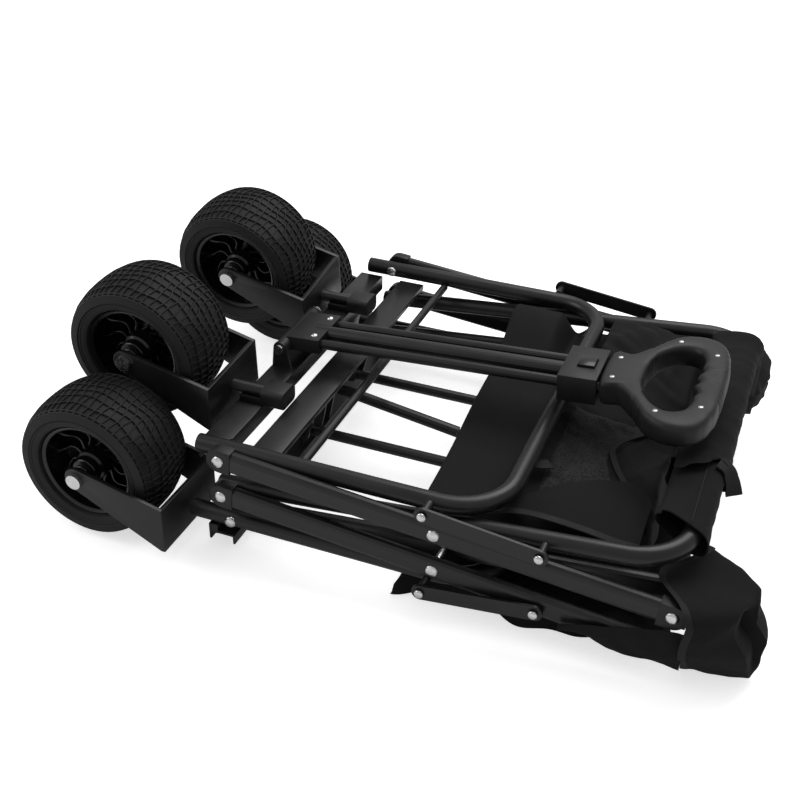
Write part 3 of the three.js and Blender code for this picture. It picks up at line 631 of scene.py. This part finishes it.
def build_base():
    """The tub's bottom folded under the frame, its edge in loose scallops along the floor."""
    bm = sheet_grid(120, 160)
    for vert in bm.verts:
        u, v = vert.co.x, vert.co.y
        edge_y = 0.2225 - 0.0085 * math.sin(u * 10.5 - 0.9) + 0.004 * math.sin(u * 27 + 1.2)
        edge_y += 0.006 * ease(0.2, 0, u)
        y = (2 * v - 1) * (0.222 + (edge_y - 0.222) * ease(0.6, 1.0, abs(2 * v - 1)))
        x = 0.032 + 0.290 * u + 0.003 * math.sin(v * 23)
        top = 0.026 + 0.006 * crease(x, y, 0.05, 0.12, 0.3) + 0.003 * crease(x, y, 0.018, 0.06, -0.4)
        outside = ease(0.214, 0.228, abs(y))
        rim = min(1.0, min(u * 0.29, (1 - u) * 0.29, v * 0.464, (1 - v) * 0.464) / 0.014)
        height = min(0.0325, top) * math.sqrt(max(0.0, 1 - (1 - rim) ** 2)) * (1 - 0.2 * outside)
        vert.co = (x, y, height + 0.0006)
    edge = [e for e in bm.edges if e.is_boundary]
    out = bmesh.ops.extrude_edge_only(bm, edges=edge)
    for vert in (g for g in out["geom"] if isinstance(g, bmesh.types.BMVert)):
        vert.co.z = 0.0
    bmesh.ops.holes_fill(bm, edges=[e for e in bm.edges if e.is_boundary])
    bmesh.ops.triangulate(bm, faces=[f for f in bm.faces if len(f.verts) > 4])
    piece = finish_piece("folded_tub_bottom", bm, CLOTH, "rear_frame", 60)
    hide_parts("fabric_base")


def ribbon(name, path, width, thick, material, body, lift=0.0, wave=0.0):
    """A flat strip of webbing or binding along a path, its width laid level across the path."""
    bm = sheet_grid(6 * (len(path) - 1), 3)
    for vert in bm.verts:
        u, v = vert.co.x, vert.co.y
        spot, tangent = curve_point(path, u)
        side = tangent.cross(Vector((0, 0, 1)))
        side = side.normalized() if side.length > 1e-4 else Vector((0, 1, 0))
        up = side.cross(tangent).normalized()
        vert.co = spot + side * (v - 0.5) * width + up * (lift + wave * math.sin(u * 17))
    bmesh.ops.recalc_face_normals(bm, faces=bm.faces)
    bmesh.ops.solidify(bm, geom=bm.faces[:], thickness=thick)
    return finish_piece(name, bm, material, body, 50)


def curve_point(path, u):
    """A point and direction on a smooth curve through the given points."""
    points = [Vector(p) for p in path]
    at = min(len(points) - 1.000001, max(0.0, u * (len(points) - 1)))
    i = int(at)
    t = at - i
    a, b = points[max(0, i - 1)], points[i]
    c, d = points[i + 1], points[min(len(points) - 1, i + 2)]
    spot = between(a, b, c, d, t)
    tangent = 0.5 * ((c - a) + 2 * (2 * a - 5 * b + 4 * c - d) * t + 3 * (3 * b - a - 3 * c + d) * t * t)
    return spot, tangent.normalized()


def on_heap(points, lift=0.0012):
    return [(x, y, heap_top(x, y) + lift) for x, y in points]


def build_mesh_pocket():
    """Net pocket lying on the folds, bound along its slack edge."""
    bm = sheet_grid(64, 72)
    for vert in bm.verts:
        u, v = vert.co.x, vert.co.y
        y = -0.152 + 0.168 * v
        slack = 0.253 - 0.033 * math.sin(math.pi * min(1.0, max(0.0, (y + 0.125) / 0.118))) ** 0.8
        x = 0.160 + (slack - 0.160) * u
        ruck = 0.0016 * crease(x, y, 0.018, 0.035, 0.4)
        rim = min(1.0, min(u, 1 - u, v, 1 - v) / 0.05)
        vert.co = (x, y, heap_top(x, y) + 0.0002 + rim * (0.0022 + max(0.0, ruck)))
    bmesh.ops.recalc_face_normals(bm, faces=bm.faces)
    bmesh.ops.solidify(bm, geom=bm.faces[:], thickness=0.0008)
    net = finish_piece("net_pocket", bm, NET, "floor_frame", 60)
    edge = [(0.254, 0.012), (0.250, -0.006), (0.232, -0.022), (0.222, -0.040), (0.221, -0.060),
            (0.232, -0.085), (0.252, -0.116), (0.245, -0.124)]
    binding = ribbon("net_pocket_binding", on_heap(edge, 0.0036), 0.0065, 0.0011, WEBBING, "floor_frame")
    loop = [(0.142, -0.128, 0.118), (0.144, -0.126, 0.129), (0.152, -0.118, 0.1252), (0.164, -0.108, 0.1225)]
    ribbon("side_loop", loop, 0.016, 0.0014, WEBBING, "floor_frame")


# Section of the rim sleeve round the top bar: flat on top, folded down at the right, tail to the left.
SLEEVE_RING = [(0.296, 0.1500), (0.305, 0.1515), (0.318, 0.1530), (0.330, 0.1528), (0.339, 0.1490),
               (0.3435, 0.1400), (0.3425, 0.1300), (0.337, 0.1245), (0.326, 0.1235), (0.312, 0.1255),
               (0.300, 0.1290), (0.2925, 0.1370), (0.2915, 0.1450)]


def build_sleeve():
    """Heavy cloth sleeve over the top bar, then a second layer wrapped round it with a hanging tab."""
    for name, y0, y1, grow, thick in (("rim_sleeve", -0.196, 0.212, 0.0, 0.0016),
                                      ("rim_sleeve_wrap", -0.078, 0.206, 0.0022, 0.0016)):
        bm = sheet_grid(52, 110 if grow == 0 else 80)
        for vert in bm.verts:
            u, v = vert.co.x, vert.co.y
            x, z = smooth_loop(SLEEVE_RING, u)
            hem = 0.010 * math.sin(u * 2 * math.pi * 1.5 + 0.8) if v < 0.001 else 0
            y = y0 + (y1 - y0) * v + hem * (1 if grow else 0.35)
            slack = ease(0.20, 0.0, v) if grow == 0 else 0.0
            z += slack * 0.004 * ease(0.320, 0.292, x) - slack * 0.003 * ease(0.300, 0.340, x)
            y += slack * 0.010 * ease(0.330, 0.300, x)
            out = Vector((x - 0.318, 0, z - 0.138)).normalized()
            sag = 0.0016 * crease(x * 0.4, y, 0.05, 0.03, 0.1) + 0.0007 * wrinkle(Vector((x, y, z)), 0.012, 2)
            mouth = 0.004 * ease(0.12, 0.0, v) if grow else 0.0015 * ease(0.06, 0, v)
            swell = 0.0035 * ease(0.92, 1.0, v) + mouth
            vert.co = Vector((x, y, z)) + out * (grow + sag + swell)
        bmesh.ops.remove_doubles(bm, verts=bm.verts, dist=1e-5)
        bmesh.ops.recalc_face_normals(bm, faces=bm.faces)
        bmesh.ops.solidify(bm, geom=bm.faces[:], thickness=thick)
        piece = finish_piece(name, bm, CLOTH, "upper_hoop", 60)
        if grow == 0:
            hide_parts("fabric_sleeve")
    seam = [(0.3245, y / 1000, 0.1551) for y in range(-190, -70, 20)]
    ribbon("rim_sleeve_seam", seam, 0.0009, 0.0005, WEBBING, "upper_hoop")
    tab = [(0.334, -0.082, 0.1555), (0.344, -0.084, 0.151), (0.3495, -0.087, 0.142), (0.353, -0.090, 0.134),
           (0.3555, -0.093, 0.127)]
    ribbon("rim_sleeve_tab", tab, 0.019, 0.0018, WEBBING, "upper_hoop")


NEAR_MOUTH = [(0.156, 0.104), (0.196, 0.107), (0.238, 0.112), (0.270, 0.108), (0.2795, 0.088),
              (0.273, 0.056), (0.250, 0.024), (0.230, 0.0045), (0.210, 0.0025), (0.194, 0.006),
              (0.176, 0.034), (0.158, 0.072)]
FAR_MOUTH = [(0.142, 0.112), (0.190, 0.118), (0.238, 0.118), (0.268, 0.112), (0.277, 0.098), (0.272, 0.078),
             (0.250, 0.070), (0.222, 0.066), (0.190, 0.068), (0.160, 0.074), (0.146, 0.084), (0.140, 0.098)]


def mouth_x(near, y, z):
    """The mouth lies further back over the arm end at the top outer corner than below it."""
    if near:
        back = 0.038 * ease(0.096, 0.110, z) * ease(0.156, 0.220, y) * (1 - 0.85 * ease(0.225, 0.276, y))
        return 0.3425 - back + 0.002 * math.sin(z * 70)
    return 0.3440 - 0.004 * ease(0.09, 0.118, z) * ease(0.19, 0.26, y)


def pocket_edge(near, y, z):
    """Where the pocket's wall is pinched together along its outer edge."""
    if near:
        out_y = 0.186 + (y - 0.150) * 0.50
        out_x = 0.4035 - 0.26 * (out_y - 0.186) + 0.015 * ease(0.092, 0.050, z)
        return Vector((out_x, out_y, 0.0075 + (z - 0.002) * 0.86))
    out_y = 0.170 + (y - 0.142) * 0.62
    return Vector((0.3620 - 0.05 * abs(out_y - 0.205), out_y, 0.082 + (z - 0.066) * 0.55))


def pocket_skin(near, u, v, swell):
    """A point on the pocket: walls from the mouth to the pinched edge, then a round closing end."""
    y, z = smooth_loop(NEAR_MOUTH if near else FAR_MOUTH, u)
    start, edge = Vector((mouth_x(near, y, z), y, z)), pocket_edge(near, y, z)
    reach = min(1.0, v / 0.82)
    spot = start.lerp(edge, reach)
    middle = Vector((0, 0.214, 0.058)) if near else Vector((0, 0.208, 0.093))
    outward = Vector((0.3 * reach, y - middle.y, (z - middle.z) * 1.1)).normalized()
    spot += outward * (0.0055 if near else 0.0030) * math.sin(reach * math.pi) * swell
    if v > 0.82:
        shut = (v - 0.82) / 0.18
        core = pocket_edge(near, middle.y, middle.z)
        keep = math.sqrt(max(0.0, 1 - shut * shut))
        tall = pocket_edge(near, y, z) - core
        low_share = 0.70 + 0.30 * keep if near else 0.2 + 0.8 * keep
        spot = core + Vector((tall.x, tall.y * (0.05 + 0.95 * keep), tall.z * low_share))
        spot.x += 0.003 * shut
    return spot, outward


def build_corner_pocket(side):
    """Sewn corner pocket over the arm ends, its mouth bound with a hem."""
    sign, near = (-1, True) if side == "right" else (1, False)
    bm = sheet_grid(96, 44)
    for vert in bm.verts:
        u, v = vert.co.x, vert.co.y
        spot, outward = pocket_skin(near, u, v, 1.0)
        fold = 0.0024 * crease(spot.z + 0.6 * spot.y, spot.x * 0.6, 0.030, 0.05, 0.25 + 0.4 * sign)
        fold += 0.0036 * crease(spot.x + 0.5 * spot.z, spot.y, 0.022, 0.06, 0.7) * ease(0.05, 0.01, spot.z)
        if not near:
            fold += 0.0030 * crease(spot.x * 1.5 + spot.z, spot.y, 0.014, 0.05, 0.3)
        fold += 0.0008 * wrinkle(spot, 0.011, 8 + sign)
        spot += outward * (fold - 0.0030) * (0.15 + 0.85 * ease(0.02, 0.2, v))
        vert.co = (spot.x, sign * min(0.2835, spot.y), max(0.0012, spot.z))
    bmesh.ops.remove_doubles(bm, verts=bm.verts, dist=1e-5)
    far_rim = [e for e in bm.edges if e.is_boundary and all(v.co.x > 0.352 for v in e.verts)]
    bmesh.ops.holes_fill(bm, edges=far_rim)
    bmesh.ops.triangulate(bm, faces=[f for f in bm.faces if len(f.verts) > 4])
    bmesh.ops.recalc_face_normals(bm, faces=bm.faces)
    bmesh.ops.solidify(bm, geom=bm.faces[:], thickness=0.0015)
    piece = finish_piece(f"corner_pocket_{side}_look", bm, CLOTH, "front_arms", 60)
    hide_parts(f"corner_pocket_{side}")
    hem = sheet_grid(96, 5)
    for vert in hem.verts:
        u, v = vert.co.x, vert.co.y
        spot, outward = pocket_skin(near, u, 0.0, 1.0)
        spot += outward * (0.0010 - 0.0014 * v * v)
        vert.co = (spot.x - 0.0012 + 0.0075 * v, sign * min(0.2845, spot.y), max(0.0012, spot.z))
    bmesh.ops.remove_doubles(hem, verts=hem.verts, dist=1e-5)
    bmesh.ops.recalc_face_normals(hem, faces=hem.faces)
    bmesh.ops.solidify(hem, geom=hem.faces[:], thickness=0.0010)
    band = finish_piece(f"corner_pocket_{side}_hem", hem, WEBBING, "front_arms", 60)


def build_side_fold():
    """Loose end of the tub's near wall, tucked over the lower arm beside the corner pocket."""
    bm = sheet_grid(60, 24)
    for vert in bm.verts:
        u, v = vert.co.x, vert.co.y
        x = 0.222 + 0.121 * u
        top = 0.079 - 0.030 * (1 - u) ** 1.5
        low = 0.033 + 0.013 * (1 - u) + 0.003 * math.sin(u * 9)
        z = low + (top - low) * v
        bulge = 0.0030 * crease(x * 0.5, z + 0.4 * x, 0.02, 0.02, 0.2)
        bulge += 0.0012 * wrinkle(Vector((x, 0, z)), 0.01, 4)
        y = 0.2655 + 0.0035 * math.sin(v * math.pi) + bulge
        vert.co = (x, -y, z)
    bmesh.ops.recalc_face_normals(bm, faces=bm.faces)
    bmesh.ops.solidify(bm, geom=bm.faces[:], thickness=0.0015)
    piece = finish_piece("near_wall_tuck", bm, CLOTH, BODY_OF["rear_arm_right"], 60)


def build_near_panel():
    """Smooth triangular end panel of the tub with its overlocked edge."""
    low = [(0.125, -0.2045, 0.1185), (0.167, -0.1975, 0.121), (0.221, -0.2025, 0.1215),
           (0.262, -0.2055, 0.118), (0.280, -0.200, 0.114)]
    high = [(0.150, -0.172, 0.121), (0.190, -0.140, 0.127), (0.228, -0.118, 0.127), (0.262, -0.108, 0.122),
            (0.279, -0.125, 0.115)]
    bm = sheet_grid(70, 40)
    for vert in bm.verts:
        u, v = vert.co.x, vert.co.y
        a, b = curve_point(low, u)[0], curve_point(high, u)[0]
        spot = a.lerp(b, v)
        spot.z = max(spot.z, heap_top(spot.x, spot.y) + 0.0012) + 0.0035 * math.sin(v * math.pi)
        under_bar = 1 - min(1.0, abs(spot.x - 0.144) / 0.022)
        if under_bar > 0:
            spot.z = min(spot.z, 0.1265 - 0.002 * under_bar)
        vert.co = spot
    bmesh.ops.recalc_face_normals(bm, faces=bm.faces)
    bmesh.ops.solidify(bm, geom=bm.faces[:], thickness=0.0014)
    panel = finish_piece("near_end_panel", bm, CLOTH, "floor_frame", 60)
    edge = [(x + 0.001, y - 0.001, max(z, heap_top(x, y) + 0.001) + 0.0012) for x, y, z in low]
    hem = ribbon("near_panel_hem", edge, 0.0085, 0.0016, WEBBING, "floor_frame", wave=0.0002)


def build_fabric():
    build_heap()
    build_base()
    build_mesh_pocket()
    build_sleeve()
    build_side_fold()
    build_near_panel()
    for side in ("right", "left"):
        build_corner_pocket(side)


build_fabric()
build_grip()
build_hardware()


# ---- floor, light and camera ----
def build_stage():
    mesh = bpy.data.meshes.new("floor")
    bm = bmesh.new()
    bmesh.ops.create_grid(bm, x_segments=1, y_segments=1, size=6)
    bm.to_mesh(mesh)
    bm.free()
    floor = bpy.data.objects.new("floor", mesh)
    bpy.context.scene.collection.objects.link(floor)
    material, tree, shader = new_material("pale_floor")
    shader.inputs["Base Color"].default_value = (0.88, 0.88, 0.88, 1)
    shader.inputs["Roughness"].default_value = 0.9
    shader.inputs["Emission Color"].default_value = (1, 1, 1, 1)
    seen = add(tree, "ShaderNodeLightPath")
    glow = add(tree, "ShaderNodeMath", operation="MULTIPLY")
    glow.inputs[1].default_value = 0.62
    link(tree, seen, "Is Camera Ray", glow, 0)
    link(tree, glow, "Value", shader, "Emission Strength")
    mesh.materials.append(material)
    world = bpy.data.worlds.new("studio")
    bpy.context.scene.world = world
    world.use_nodes = True
    background = world.node_tree.nodes["Background"]
    background.inputs["Color"].default_value = (1, 1, 1, 1)
    path = add(world.node_tree, "ShaderNodeLightPath")
    strength = add(world.node_tree, "ShaderNodeMapRange")
    strength.inputs["To Min"].default_value = 0.5
    strength.inputs["To Max"].default_value = 1.0
    link(world.node_tree, path, "Is Camera Ray", strength, "Value")
    link(world.node_tree, strength, "Result", background, "Strength")
    bpy.context.scene.view_settings.view_transform = "Standard"
    for name, spot, aim, size, power in (
        ("key_panel", (0.3, 0.9, 1.9), (0, 0, 0.1), 1.6, 26),
        ("left_panel", (-1.7, -0.7, 1.3), (0, 0, 0.1), 1.2, 10),
    ):
        light = bpy.data.lights.new(name, "AREA")
        light.energy = power
        light.size = size
        lamp = bpy.data.objects.new(name, light)
        bpy.context.scene.collection.objects.link(lamp)
        lamp.location = spot
        lamp.rotation_euler = (Vector(aim) - Vector(spot)).to_track_quat("-Z", "Y").to_euler()


def build_camera():
    camera = bpy.data.cameras.new("camera")
    holder = bpy.data.objects.new("camera", camera)
    bpy.context.scene.collection.objects.link(holder)
    bpy.context.scene.camera = holder
    turn, tip, roll = math.radians(-20.95), math.radians(32.62), math.radians(1.21)
    camera.sensor_width = 36
    camera.lens = 36 * 1150 / 800
    camera.clip_end = 30
    away = Vector((math.cos(tip) * math.sin(turn), math.cos(tip) * math.cos(turn), -math.sin(tip)))
    level = Vector((math.cos(turn), -math.sin(turn), 0))
    raised = level.cross(away)
    right = level * math.cos(roll) + raised * math.sin(roll)
    up = raised * math.cos(roll) - level * math.sin(roll)
    turned = Matrix((right, up, -away)).transposed().to_4x4()
    holder.matrix_world = Matrix.Translation(Vector((0.372, -1.109, 0.847))) @ turned


build_stage()
build_camera()
